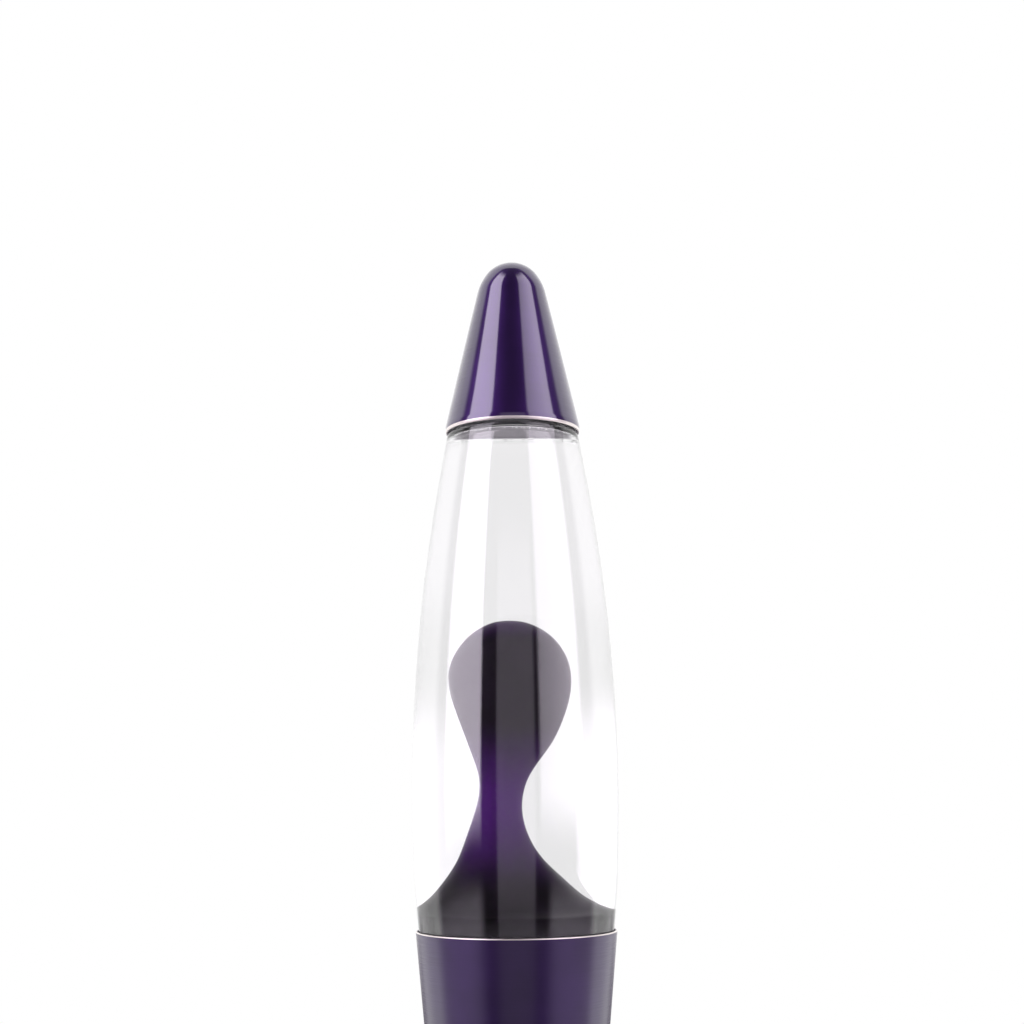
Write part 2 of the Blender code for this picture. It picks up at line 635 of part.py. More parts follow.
def wax_rings(grow=0.0):
    """Wax column as (height, radius, offset in x): a tall bulb, a neck, and a mound on the floor."""
    column = [(260.2, 0.0, -1.4), (259.4, 5.2, -1.4), (256.9, 9.9, -1.4), (252.9, 14.0, -1.4),
              (247.8, 17.0, -1.4), (242.2, 18.8, -1.4), (236.2, 19.2, -1.4), (230.0, 18.6, -1.3),
              (223.7, 17.2, -1.2), (213.7, 13.8, -1.3), (207.0, 10.8, -2.2), (200.6, 8.2, -3.1),
              (195.4, 7.0, -3.9), (188.0, 6.8, -4.9), (181.0, 8.1, -5.5), (172.0, 10.7, -5.3),
              (165.5, 13.8, -4.4), (159.0, 18.6, -3.2), (153.4, 22.6, -2.8), (149.0, 27.6, -2.0),
              (146.6, 32.4, -0.8)]
    rings = []
    for height, radius, shift in column:
        lift = grow if radius == 0.0 else grow * 0.5 * max(0.0, (height - 236.0) / 24.0)
        rings.append((height + lift, radius + grow if radius else 0.0, shift))
    return rings


def build_wax(bottle):
    """Wax melted on the bottle's floor and rising through the liquid, round the wire coil."""
    floor = bottle_inside(GAP)
    heel = [(floor[6][1], floor[6][0], 0.0), (floor[5][1] + 0.4, floor[5][0], 0.0)]
    over_coil = [(120.2, 31.6, 0.0), (120.2, 24.6, 0.0)]
    under = [(floor[2][1] + 0.2, floor[2][0], 0.0), (floor[1][1], floor[1][0], 0.0),
             (floor[0][1], 0.0, 0.0)]
    wall = [(WAX_WALL_Z, wall_r(WAX_WALL_Z), 0.0), (RIM_Z + 0.5, wall_r(RIM_Z + 0.5), 0.0)]
    rings = wax_rings() + wall + heel + over_coil + under
    lofted("wax", rings, LOOKS["wax"], WAX_FACETS, lambda ring, angle: ring[1], bottle)


def build_liquid(bottle):
    """Liquid: the inside of the bottle up to the fill line, less the wax."""
    inside = bottle_inside(GAP)
    fill = inside[::-1]
    fill.insert(0, (0.0, LIQUID_Z))
    low = RIM_Z - 4.0
    above = [(r, z) for r, z in fill if z > low] + [(wall_r(low), low), (0.0, low)]
    liquid = turned("clear_liquid", above, LOOKS["liquid"], parent=bottle)
    reach = 50.0
    skirt = [(WAX_WALL_Z + GAP, wall_r(WAX_WALL_Z) - 0.2, 0.0), (WAX_WALL_Z + GAP, reach, 0.0),
             (low - 5.0, reach, 0.0), (low - 5.0, 0.0, 0.0)]
    void = lofted("wax_void", wax_rings(GAP) + skirt, None, WAX_FACETS, lambda ring, angle: ring[1])
    cut(liquid, as_cutter(void))


def build_coil(bottle):
    """Wire coil that lies in the trough round the punt and gathers the melted wax."""
    turns = 2.5
    steps = 12
    route = []
    for step in range(int(turns * steps) + 1):
        angle = 2 * math.pi * step / steps
        route.append((28.2 * math.cos(angle), 28.2 * math.sin(angle), 116.6 + 1.0 * step / steps))
    wire("wire_coil", route, 0.45, LOOKS["steel"], bottle)


def build_crown(bottle):
    """Fluted crown closure crimped over the lip, on its liner."""
    sheet = 0.3
    liner_top = MOUTH_Z + GAP + 0.8
    under = liner_top + GAP
    outer = [(under + sheet, 0.0, 0.0, 0.0), (under + sheet, 10.6, 0.0, 0.0),
             (under - 0.1, 12.9, 0.0, 0.05), (MOUTH_Z, 14.0, 0.0, 0.12),
             (MOUTH_Z - 1.6, 14.25, 0.0, 0.25), (MOUTH_Z - 3.8, 14.6, 0.0, 0.42)]
    inner = [(MOUTH_Z - 3.8, 14.3, 0.0, 0.42), (MOUTH_Z - 1.6, 13.95, 0.0, 0.25),
             (MOUTH_Z, 13.7, 0.0, 0.12), (under - 0.4, 12.75, 0.0, 0.05), (under, 10.6, 0.0, 0.0),
             (under, 0.0, 0.0, 0.0)]
    lofted("crown_closure", outer + inner, LOOKS["tin"], 2 * FLUTES,
           lambda ring, angle: ring[1] + ring[3] * math.cos(FLUTES * angle), bottle)
    turned("crown_liner", [(0, liner_top), (12.2, liner_top), (12.2, MOUTH_Z + GAP),
                           (0, MOUTH_Z + GAP)], LOOKS["white_plastic"], FINE, parent=bottle)


def build_bottle():
    bottle = axis_empty("bottle_lift_axis", HEEL_Z)
    turned("glass_bottle", bottle_inside() + bottle_outside(), LOOKS["glass"], parent=bottle)
    build_wax(bottle)
    build_liquid(bottle)
    build_coil(bottle)
    build_crown(bottle)


# ---------------------------------------------------------------- cap

def cap_outline():
    """Outer side of the cap: nose arc, flank arc, straight cone and a rolled rim."""
    tan_taper = math.tan(CAP_TAPER)
    secant = 1 / math.cos(CAP_TAPER)
    line = CONE_R + tan_taper * CONE_Z
    slack = line - tan_taper * APEX_Z - (secant - tan_taper) * NOSE_R
    extra = slack / (secant - math.cos(NOSE_END) - tan_taper * math.sin(NOSE_END))
    centre_z = APEX_Z - NOSE_R
    nose = arc((0.0, centre_z), NOSE_R, math.pi / 2, NOSE_END, 5)
    nose[0] = (0.0, APEX_Z)
    flank_centre = (-extra * math.cos(NOSE_END), centre_z - extra * math.sin(NOSE_END))
    flank = arc(flank_centre, NOSE_R + extra, NOSE_END, CAP_TAPER, 2)[1:]
    cone = [(line - tan_taper * z, z) for z in (368.0, 343.2)]
    rim = [(cone[-1][0] + 0.12, 342.2), (cone[-1][0] + 0.14, 341.0), (cone[-1][0] - 0.1, CAP_Z)]
    return nose + flank + cone + rim


def build_cap():
    cap = axis_empty("cap_lift_axis", CAP_Z)
    outer = cap_outline()
    inner = inset(outer, SHEET)
    inner[0] = (0.0, APEX_Z - SHEET)
    inner[-1] = (outer[-1][0] - SHEET + 0.1, CAP_Z)
    turned("top_cap", outer + inner[::-1], LOOKS["purple"], parent=cap)


clear_scene()
PARTS = make_collection("lava_lamp")
CUTTERS = make_collection("cutters")
LOOKS = {
    "purple": finish("purple_aluminium", (0.05, 0.02, 0.14), 0.33, metallic=1.0),
    "glass": finish("bottle_glass", (0.98, 0.99, 0.99), 0.02, transmission=1.0),
    "liquid": finish("clear_fluid", (0.96, 0.97, 0.98), 0.0, transmission=1.0),
    "wax": finish("purple_wax", (0.03, 0.012, 0.045), 0.25),
    "steel": finish("bright_steel", (0.55, 0.55, 0.56), 0.3, metallic=1.0),
    "zinc": finish("zinc_steel", (0.62, 0.62, 0.6), 0.38, metallic=1.0),
    "tin": finish("tinned_steel", (0.66, 0.66, 0.66), 0.28, metallic=1.0),
    "solder": finish("solder", (0.5, 0.5, 0.5), 0.4, metallic=1.0),
    "tungsten": finish("tungsten", (0.3, 0.3, 0.3), 0.4, metallic=1.0),
    "brass": finish("brass", (0.71, 0.5, 0.2), 0.3, metallic=1.0),
    "rubber": finish("black_rubber", (0.02, 0.02, 0.02), 0.7),
    "phenolic": finish("phenolic", (0.03, 0.03, 0.03), 0.45),
    "black_plastic": finish("black_plastic", (0.03, 0.03, 0.032), 0.55),
    "white_plastic": finish("white_plastic", (0.8, 0.8, 0.78), 0.5),
    "black_glass": finish("black_vitreous", (0.01, 0.01, 0.012), 0.15),
    "bulb_glass": finish("bulb_glass", (0.95, 0.95, 0.95), 0.08, transmission=1.0),
    "live_sleeve": finish("brown_sleeve", (0.16, 0.06, 0.02), 0.5),
    "neutral_sleeve": finish("blue_sleeve", (0.02, 0.09, 0.35), 0.5),
    "earth_sleeve": finish("green_sleeve", (0.05, 0.3, 0.06), 0.5),
}

build_base_shell()
build_bottle_seat()
build_bridge()
build_bottom()
build_grommet()
build_holder()
build_terminal_block()
build_leads()
build_bulb()
build_bottle()
build_cap()
bpy.context.view_layer.update()
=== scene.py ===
"""Looks of the lava lamp: anodised metal, clear bottle, liquid and wax, fine turned surfaces and fittings."""
import json
import math
import random

import bmesh
import bpy
import numpy as np
from mathutils import Matrix, Vector, noise

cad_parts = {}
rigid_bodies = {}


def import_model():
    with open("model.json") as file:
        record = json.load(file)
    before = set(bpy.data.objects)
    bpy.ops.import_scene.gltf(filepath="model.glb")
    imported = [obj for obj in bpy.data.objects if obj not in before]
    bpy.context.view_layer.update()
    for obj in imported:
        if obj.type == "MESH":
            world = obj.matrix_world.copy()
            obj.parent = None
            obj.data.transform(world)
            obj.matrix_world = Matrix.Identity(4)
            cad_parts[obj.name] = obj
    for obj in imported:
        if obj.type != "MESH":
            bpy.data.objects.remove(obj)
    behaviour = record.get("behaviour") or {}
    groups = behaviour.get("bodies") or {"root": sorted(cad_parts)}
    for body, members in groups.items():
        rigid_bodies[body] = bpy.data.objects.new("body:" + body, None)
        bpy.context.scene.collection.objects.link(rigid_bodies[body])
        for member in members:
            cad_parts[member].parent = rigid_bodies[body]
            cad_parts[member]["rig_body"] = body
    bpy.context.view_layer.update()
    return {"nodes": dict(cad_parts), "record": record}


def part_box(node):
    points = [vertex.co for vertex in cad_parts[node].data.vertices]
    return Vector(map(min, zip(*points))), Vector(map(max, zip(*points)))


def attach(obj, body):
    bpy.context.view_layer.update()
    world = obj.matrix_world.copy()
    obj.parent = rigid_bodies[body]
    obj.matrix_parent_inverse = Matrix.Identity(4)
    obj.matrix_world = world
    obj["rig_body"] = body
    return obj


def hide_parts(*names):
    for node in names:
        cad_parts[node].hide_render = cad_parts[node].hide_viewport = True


for thing in list(bpy.data.objects):
    bpy.data.objects.remove(thing, do_unlink=True)
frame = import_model()
NODES = frame["nodes"]
SLOTS = {part["node"]: part["material_slot"] for part in frame["record"]["subparts"]}

MM = 0.001
REPLACED = set()       # nodes whose place a fine piece has taken
ROUND_FITTINGS = ("bottle_seat", "seat_gasket", "threaded_nipple", "nipple_washer", "holder_base",
                  "holder_shell", "holder_thread", "bulb_screw_cap", "bulb_glass", "bulb_stem",
                  "bulb_insulator", "bulb_contact", "crown_liner")
SAME = 2e-6                       # points closer than this are one point
CREASE = math.radians(38)         # a corner that turns more than this stays a corner
TURN_STEP = math.radians(5)       # the most that a smooth outline turns between two points
LONGEST = 12 * MM                 # the longest straight step in a smooth outline
EDGE_SHARE = 0.3                  # the most of a step that a rounded corner takes
LARGE, MEDIUM, SMALL = 192, 96, 48   # facets round a turned piece

OUTLET_TILT = math.radians(21.8)  # the lower cone's slope at the grommet
OUTLET = Vector((0, math.cos(OUTLET_TILT), math.sin(OUTLET_TILT)))
FLANGE_Z = 6 * MM                 # the foot flange, which the screws pass through
SCREW_HOLE_R = 1.7 * MM
GROMMET_HOLE_R = 5.5 * MM
CAP_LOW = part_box("top_cap")[0].z
BASE_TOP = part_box("base_shell")[1].z
CAP_RIM = (CAP_LOW - 1 * MM, CAP_LOW + 1.2 * MM)      # heights between which the metal is bright
BASE_RIM = (BASE_TOP - 0.5 * MM, BASE_TOP + 1 * MM)
WAX_NECK_Z = 188 * MM
WAX_SWELL = 0.25 * MM             # how far the wax's skin rises and sinks
BUBBLES = 110
BUBBLE_R = (0.18 * MM, 0.5 * MM)
SILVER_DEPTH = 7.5 * MM           # from the bulb's top down to its silvered flanks

# The lamp's surroundings in degrees: azimuth 0 is towards the camera and grows to its right.
LEFT_BOX, LEFT_STRENGTH = (-84, -39), 4.1
RIGHT_BOX, RIGHT_STRENGTHS = (28, 80), (1.9, 3.2)
RIGHT_SLOPE = (30, 68)            # where the right box goes from its first strength to its second
BOX_HEIGHTS = (-3, 66)
FRONT, FRONT_HEIGHTS, FRONT_STRENGTHS = (-21, 22), (-60, 24), (0.34, 0.55)
LOW_HEIGHTS = (-14, -6)           # where the low part of the room ends
BACK_EDGE, BACK_STRENGTH = (93, 106), 1.2
SHADE_EDGE, SHADE_HEIGHTS, SHADE = (138, 150), (-9, -5), 0.8
SPILL, SPILL_STRENGTH = (40, 110), 0.75
ROOM_STRENGTH = 0.05
TABLE_R, TABLE_CLEAR_R = 0.7, 0.3

LENS, SENSOR_WIDTH = 55.4, 36.0
CAMERA_AT = (-0.0005, -0.642, 0.1918)
PITCH = math.radians(10.167)
ROLL = math.radians(-0.45)


# ---------------------------------------------------------------- outlines read from the frame

def spot(co):
    """A point rounded to a micrometre, so that equal points compare as equal."""
    return tuple(round(c, 6) for c in co)


class Section:
    """A CAD node's own axis, and the outline that it is turned from."""

    def __init__(self, node, axis=None):
        mesh = NODES[node].data
        points = {spot(v.co) for v in mesh.vertices}
        low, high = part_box(node)
        self.centre = Vector(((low.x + high.x) / 2, (low.y + high.y) / 2, 0.0))
        self.turn = Matrix.Identity(3)
        if axis is not None:
            self.centre = Vector(np.mean(sorted(points), axis=0))
            self.turn = Vector((0, 0, 1)).rotation_difference(axis).to_matrix()
        local = {p: self.turn.transposed() @ (Vector(p) - self.centre) for p in points}
        angle = self.best_direction(local.values())
        along = Vector((math.cos(angle), math.sin(angle), 0))
        across = Vector((-along.y, along.x, 0))
        flat = {p: (q.dot(along), q.z) for p, q in local.items()
                if abs(q.dot(across)) < SAME and q.dot(along) > -SAME}
        near = self.neighbours(mesh, flat)
        ends = sorted(p for p in near if len(near[p]) == 1)
        start = ends[0] if ends else max(near, key=lambda p: (flat[p][1], flat[p][0]))
        self.closed = not ends
        self.outline = [(max(flat[p][0], 0.0), flat[p][1]) for p in self.walk(near, start)]

    @staticmethod
    def neighbours(mesh, flat):
        """For each point on the outline, the points that a face's edge joins it to."""
        near = {p: set() for p in flat}
        for face in mesh.polygons:
            ring = [spot(mesh.vertices[v].co) for v in face.vertices]
            for a, b in zip(ring, ring[1:] + ring[:1]):
                if a in flat and b in flat and a != b:
                    near[a].add(b)
                    near[b].add(a)
        return near

    @staticmethod
    def walk(near, start):
        """The outline's points in order, from one end, or once round when it has no end."""
        path, before = [start], None
        while True:
            following = sorted(p for p in near[path[-1]] if p != before and p not in path[1:])
            if not following or following[0] == start:
                return path
            before = path[-1]
            path.append(following[0])

    @staticmethod
    def best_direction(points):
        """The angle round the axis at which most of the node's points lie."""
        points = list(points)
        reach = max(math.hypot(p.x, p.y) for p in points)
        angles = {round(math.atan2(p.y, p.x), 4) for p in points if math.hypot(p.x, p.y) > reach - SAME}

        def hits(angle):
            return sum(abs(p.y * math.cos(angle) - p.x * math.sin(angle)) < SAME
                       and p.x * math.cos(angle) + p.y * math.sin(angle) > -SAME for p in points)
        best = max(sorted(angles), key=hits)
        exact = [p for p in points if abs(math.atan2(p.y, p.x) - best) < 1e-4
                 and math.hypot(p.x, p.y) > reach - SAME]
        return math.atan2(exact[0].y, exact[0].x)


def fair(outline, closed, edge):
    """A dense smooth line through an outline: splines, with each sharp corner a small round edge."""
    points = [Vector(p) for p in outline]
    count = len(points)
    runs = count if closed else count - 1
    steps = [points[(i + 1) % count] - points[i] for i in range(runs)]

    def turning(i):
        if not closed and i in (0, count - 1):
            return 0.0
        return steps[i - 1].angle(steps[i], 0.0)

    def tangent(i, leaving):
        ahead = steps[i % runs] if closed or i < runs else None
        behind = steps[i - 1] if closed or i > 0 else None
        only = ahead if behind is None else behind if ahead is None else None
        if only is not None:
            level = Vector((math.copysign(1.0, only.x), 0.0))
            return level if only.angle(level, 0.0) < CREASE else only.normalized()
        if turning(i) > CREASE:
            return (ahead if leaving else behind).normalized()
        return (ahead + behind).normalized()

    line = []
    for i in range(runs):
        start, end, chord = points[i], points[(i + 1) % count], steps[i].length
        leave, arrive = tangent(i, True), tangent((i + 1) % count if closed else i + 1, False)
        parts = max(1, math.ceil(leave.angle(arrive, 0.0) / TURN_STEP), math.ceil(chord / LONGEST))
        before = min(edge, chord * EDGE_SHARE) if turning(i) > CREASE else 0.0
        last = (i + 1) % count if closed else i + 1
        after = min(edge, chord * EDGE_SHARE) if turning(last) > CREASE else 0.0
        shares = sorted({0.0, 1.0, *(k / parts for k in range(parts + 1))})
        inner = [s for s in shares if before < s * chord < chord - after]
        if before:
            inner = [before / chord, min(2.2 * before / chord, 0.45)] + inner
        elif not inner or inner[0] > 0.0:
            inner = [0.0] + inner
        if after:
            inner += [max(1 - 2.2 * after / chord, 0.55), 1 - after / chord]
        for s in sorted(set(inner)):
            hermite = ((2 * s ** 3 - 3 * s ** 2 + 1) * start + (s ** 3 - 2 * s ** 2 + s) * chord * leave
                       + (-2 * s ** 3 + 3 * s ** 2) * end + (s ** 3 - s ** 2) * chord * arrive)
            line.append(hermite)
        if after:
            out = tangent(last, True)
            following = min(edge, steps[last % runs].length * EDGE_SHARE)
            first, final = end - arrive * after, end + out * following
            line.append(0.25 * first + 0.5 * end + 0.25 * final)
    if not closed:
        line.append(points[-1])
    reach = max(p.x for p in points)
    return [(min(max(p.x, 0.0), reach), p.y) for p in line]


# ---------------------------------------------------------------- meshes

def mesh_from(form, name):
    """A smooth-shaded mesh made from a bmesh, which is freed."""
    bmesh.ops.recalc_face_normals(form, faces=form.faces)
    mesh = bpy.data.meshes.new(name)
    form.to_mesh(mesh)
    form.free()
    mesh.shade_smooth()
    return mesh


def add_object(name, data):
    thing = bpy.data.objects.new(name, data)
    bpy.context.scene.collection.objects.link(thing)
    return thing


def rings_to_form(rings, closed):
    """Faces between rings of equal count; a ring of one point is a pole."""
    form = bmesh.new()
    loops = [[form.verts.new(p) for p in ring] for ring in rings]
    pairs = list(zip(loops, loops[1:])) + ([(loops[-1], loops[0])] if closed else [])
    for upper, lower in pairs:
        count = max(len(upper), len(lower))
        for step in range(count):
            after = (step + 1) % count
            if len(upper) == 1:
                form.faces.new((upper[0], lower[step], lower[after]))
            elif len(lower) == 1:
                form.faces.new((upper[step], lower[0], upper[after]))
            else:
                form.faces.new((upper[step], lower[step], lower[after], upper[after]))
    return form


def turn_line(line, facets, centre=Vector((0, 0, 0)), turn=Matrix.Identity(3)):
    """Rings of points for a line turned round an axis."""
    rings = []
    for r, z in line:
        if r < SAME:
            rings.append([turn @ Vector((0, 0, z)) + centre])
            continue
        ring = []
        for step in range(facets):
            angle = 2 * math.pi * step / facets
            ring.append(turn @ Vector((r * math.cos(angle), r * math.sin(angle), z)) + centre)
        rings.append(ring)
    return rings


def stands_for(piece, node, look):
    """A fine piece takes the place and body of the CAD node that it is made from, and gets the given look."""
    piece.data.materials.clear()
    piece.data.materials.append(look)
    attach(piece, NODES[node]["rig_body"])
    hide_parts(node)
    REPLACED.add(node)


def turned_copy(node, look, facets=MEDIUM, edge=0.25 * MM, axis=None):
    """The CAD node turned again from its own outline, round and with softened edges."""
    section = Section(node, axis)
    line = fair(section.outline, section.closed, edge)
    rings = turn_line(line, facets, section.centre, section.turn)
    piece = add_object(node + "_fine", mesh_from(rings_to_form(rings, section.closed), node + "_fine"))
    stands_for(piece, node, look)
    return piece


def hole(piece, at, radius, length, axis=(0, 0, 1), facets=32):
    """A round hole cut through a piece for good."""
    form = bmesh.new()
    bmesh.ops.create_cone(form, cap_ends=True, segments=facets, radius1=radius, radius2=radius, depth=length)
    turn = Vector((0, 0, 1)).rotation_difference(Vector(axis)).to_matrix().to_4x4()
    bmesh.ops.transform(form, matrix=Matrix.Translation(at) @ turn, verts=form.verts)
    cutter = add_object("cutter", mesh_from(form, "cutter"))
    apply_boolean(piece, cutter)


def apply_boolean(piece, cutter):
    """Takes the cutter's shape out of the piece and removes the cutter."""
    boolean = piece.modifiers.new("Cut", "BOOLEAN")
    boolean.object = cutter
    boolean.solver = "EXACT"
    bpy.context.view_layer.update()
    cut = bpy.data.meshes.new_from_object(piece.evaluated_get(bpy.context.evaluated_depsgraph_get()))
    piece.modifiers.clear()
    piece.data = cut
    bpy.data.objects.remove(cutter, do_unlink=True)
    cut.shade_smooth()
    cut.set_sharp_from_angle(angle=CREASE)


# ---------------------------------------------------------------- material nodes

def new_look(name):
    look = bpy.data.materials.new(name)
    look.use_nodes = True
    return look, look.node_tree, look.node_tree.nodes["Principled BSDF"]


def add_node(tree, kind, **settings):
    made = tree.nodes.new(kind)
    for key, value in settings.items():
        if key in made.inputs:
            made.inputs[key].default_value = value
        else:
            setattr(made, key, value)
    return made


def speckle(tree, scale, detail=2.0, stretch=(1, 1, 1)):
    """Noise in the piece's own space; scale is per metre."""
    place = add_node(tree, "ShaderNodeTexCoord")
    mapping = add_node(tree, "ShaderNodeMapping", Scale=stretch)
    texture = add_node(tree, "ShaderNodeTexNoise", Scale=scale, Detail=detail)
    tree.links.new(place.outputs["Object"], mapping.inputs["Vector"])
    tree.links.new(mapping.outputs["Vector"], texture.inputs["Vector"])
    return texture.outputs["Fac"]


def height_mask(tree, low, high):
    """0 below low, 1 above high, along the lamp's own Z."""
    place = add_node(tree, "ShaderNodeTexCoord")
    split = add_node(tree, "ShaderNodeSeparateXYZ")
    tree.links.new(place.outputs["Object"], split.inputs["Vector"])
    return spread(tree, split.outputs["Z"], low, high, 0.0, 1.0)


def spread(tree, value, from_low, from_high, to_low, to_high, smooth=True):
    """A value mapped from one range to another, and held at the range's ends."""
    ranged = add_node(tree, "ShaderNodeMapRange", interpolation_type="SMOOTHSTEP" if smooth else "LINEAR")
    for key, number in zip(("From Min", "From Max", "To Min", "To Max"),
                           (from_low, from_high, to_low, to_high)):
        ranged.inputs[key].default_value = number
    tree.links.new(value, ranged.inputs["Value"])
    return ranged.outputs["Result"]


def blend_colours(tree, share, first, second):
    """first and second are colours, or outputs that carry one."""
    mix = add_node(tree, "ShaderNodeMix", data_type="RGBA")
    tree.links.new(share, mix.inputs[0])
    for socket, value in ((mix.inputs[6], first), (mix.inputs[7], second)):
        if isinstance(value, tuple):
            socket.default_value = (*value, 1.0)
        else:
            tree.links.new(value, socket)
    return mix.outputs[2]


def combine(tree, operation, first, second):
    math_node = add_node(tree, "ShaderNodeMath", operation=operation)
    for socket, value in zip(math_node.inputs, (first, second)):
        if isinstance(value, (int, float)):
            socket.default_value = value
        else:
            tree.links.new(value, socket)
    return math_node.outputs[0]


def relief(tree, value, distance, strength=1.0):
    bump = add_node(tree, "ShaderNodeBump", Strength=strength, Distance=distance)
    tree.links.new(value, bump.inputs["Height"])
    return bump.outputs["Normal"]


def general_look(name, light, dark, roughness, metallic=0.0, grain=900.0, depth=4e-6, stretch=(1, 1, 1)):
    """Two close tones, uneven roughness and a fine surface, for the plain fittings."""
    look, tree, shader = new_look(name)
    cloud = speckle(tree, grain / 6, 3.0, stretch)
    fine = speckle(tree, grain, 2.0, stretch)
    colour = blend_colours(tree, spread(tree, cloud, 0.35, 0.65, 0.0, 1.0), dark, light)
    tree.links.new(colour, shader.inputs["Base Color"])
    uneven = spread(tree, cloud, 0.3, 0.7, roughness * 0.85, roughness * 1.2)
    tree.links.new(uneven, shader.inputs["Roughness"])
    tree.links.new(relief(tree, fine, depth), shader.inputs["Normal"])
    shader.inputs["Metallic"].default_value = metallic
    return look


def anodised(name, rim, coat_roughness, coat_ior):
    """Dyed, spun aluminium under a clear seal; the rolled rim between two heights is turned bright."""
    rim_low, rim_high = rim
    soft = 0.1 * MM
    look, tree, shader = new_look(name)
    rings = speckle(tree, 60.0, 3.0, (1, 1, 60))
    fine = speckle(tree, 260.0, 2.0, (1, 1, 40))
    cloud = speckle(tree, 45.0, 2.0)
    dyed = blend_colours(tree, spread(tree, cloud, 0.3, 0.7, 0.0, 1.0), (0.026, 0.007, 0.068),
                         (0.033, 0.009, 0.086))
    above_low = height_mask(tree, rim_low - soft, rim_low + soft)
    above_high = height_mask(tree, rim_high - soft, rim_high + soft)
    bright = combine(tree, "SUBTRACT", above_low, above_high)
    colour = blend_colours(tree, bright, dyed, (0.86, 0.78, 0.76))
    tree.links.new(colour, shader.inputs["Base Color"])
    satin = spread(tree, rings, 0.3, 0.7, 0.42, 0.52)
    tree.links.new(satin, shader.inputs["Roughness"])
    tree.links.new(relief(tree, fine, 1.2e-6), shader.inputs["Normal"])
    shader.inputs["Metallic"].default_value = 1.0
    shader.inputs["Coat Weight"].default_value = 1.0
    shader.inputs["Coat Roughness"].default_value = coat_roughness
    shader.inputs["Coat IOR"].default_value = coat_ior
    return look


def clear_glass():
    """Colourless bottle glass with slow waves in it, longest up the bottle."""
    look, tree, shader = new_look("bottle_glass")
    sway = speckle(tree, 28.0, 1.0, (1, 1, 0.35))
    colour = blend_colours(tree, sway, (0.984, 0.982, 0.984), (0.990, 0.988, 0.990))
    tree.links.new(colour, shader.inputs["Base Color"])
    tree.links.new(spread(tree, speckle(tree, 90.0), 0.3, 0.8, 0.0, 0.012), shader.inputs["Roughness"])
    tree.links.new(relief(tree, sway, 3e-5, 0.6), shader.inputs["Normal"])
    shader.inputs["IOR"].default_value = 1.5
    shader.inputs["Transmission Weight"].default_value = 1.0
    return look


def clear_fluid():
    """Water-like liquid with a trace of haze."""
    look, tree, shader = new_look("clear_fluid")
    haze = speckle(tree, 20.0, 1.0)
    colour = blend_colours(tree, haze, (0.985, 0.985, 0.987), (0.992, 0.991, 0.993))
    tree.links.new(colour, shader.inputs["Base Color"])
    tree.links.new(spread(tree, haze, 0.2, 0.8, 0.0, 0.004), shader.inputs["Roughness"])
    shader.inputs["IOR"].default_value = 1.33
    shader.inputs["Transmission Weight"].default_value = 1.0
    return look


def dark_wax(neck_z):
    """Nearly black aubergine where it is thick, and a painted violet glow where light would get through the
    thin neck, weaker at the top.
    """
    look, tree, shader = new_look("purple_wax")
    cloud = speckle(tree, 70.0, 3.0)
    deep = blend_colours(tree, spread(tree, cloud, 0.35, 0.65, 0.0, 1.0), (0.009, 0.004, 0.011),
                         (0.014, 0.007, 0.017))
    # painted glow: a violet base colour stands for light shining through the thin neck, and more weakly
    # through the top
    rising = height_mask(tree, neck_z - 34 * MM, neck_z - 2 * MM)
    falling = height_mask(tree, neck_z + 2 * MM, neck_z + 34 * MM)
    crown = combine(tree, "MULTIPLY", height_mask(tree, neck_z + 62 * MM, neck_z + 73 * MM), 0.4)
    painted_glow = combine(tree, "ADD", combine(tree, "SUBTRACT", rising, falling), crown)
    tree.links.new(blend_colours(tree, painted_glow, deep, (0.095, 0.016, 0.20)), shader.inputs["Base Color"])
    tree.links.new(spread(tree, cloud, 0.3, 0.7, 0.28, 0.4), shader.inputs["Roughness"])
    tree.links.new(relief(tree, speckle(tree, 90.0), 2e-5, 0.5), shader.inputs["Normal"])
    shader.inputs["IOR"].default_value = 1.12
    return look


def reflector_bulb(silver_top):
    """Blown glass: silvered flanks below the widest height, and a frosted face."""
    look, tree, shader = new_look("bulb_glass")
    face = height_mask(tree, silver_top, silver_top + 1.2 * MM)
    cloud = speckle(tree, 260.0, 3.0)
    colour = blend_colours(tree, face, (0.86, 0.86, 0.85), (0.93, 0.93, 0.91))
    tree.links.new(colour, shader.inputs["Base Color"])
    frost = spread(tree, cloud, 0.3, 0.7, 0.34, 0.46)
    mirror = spread(tree, cloud, 0.3, 0.7, 0.10, 0.16)
    blend = add_node(tree, "ShaderNodeMix", data_type="FLOAT")
    tree.links.new(face, blend.inputs[0])
    tree.links.new(mirror, blend.inputs[2])
    tree.links.new(frost, blend.inputs[3])
    tree.links.new(blend.outputs[0], shader.inputs["Roughness"])
    tree.links.new(spread(tree, face, 0.0, 1.0, 1.0, 0.0), shader.inputs["Metallic"])
    tree.links.new(spread(tree, face, 0.0, 1.0, 0.0, 0.75), shader.inputs["Transmission Weight"])
    tree.links.new(relief(tree, cloud, 4e-6), shader.inputs["Normal"])
    return look


def cut_base(piece):
    """The screw holes in the foot flange, and the grommet's hole in the rear of the lower cone."""
    screws = [f"foot_screw_{n}" for n in range(1, 5)] + [f"bridge_screw_{n}" for n in (1, 2)]
    for screw in screws:
        low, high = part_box(screw)
        middle = (low + high) / 2
        hole(piece, (middle.x, middle.y, FLANGE_Z), SCREW_HOLE_R, 5 * MM)
    grommet = Vector(np.mean([v.co for v in NODES["cable_grommet"].data.vertices], axis=0))
    hole(piece, grommet, GROMMET_HOLE_R, 12 * MM, OUTLET)


def line_inside(piece, look):
    """A second look on the faces that point at the lamp's axis."""
    piece.data.materials.append(look)
    for face in piece.data.polygons:
        outward = Vector((face.center.x, face.center.y, 0.0))
        if face.normal.dot(outward) < 0:
            face.material_index = 1


# ---------------------------------------------------------------- bottle, liquid and wax

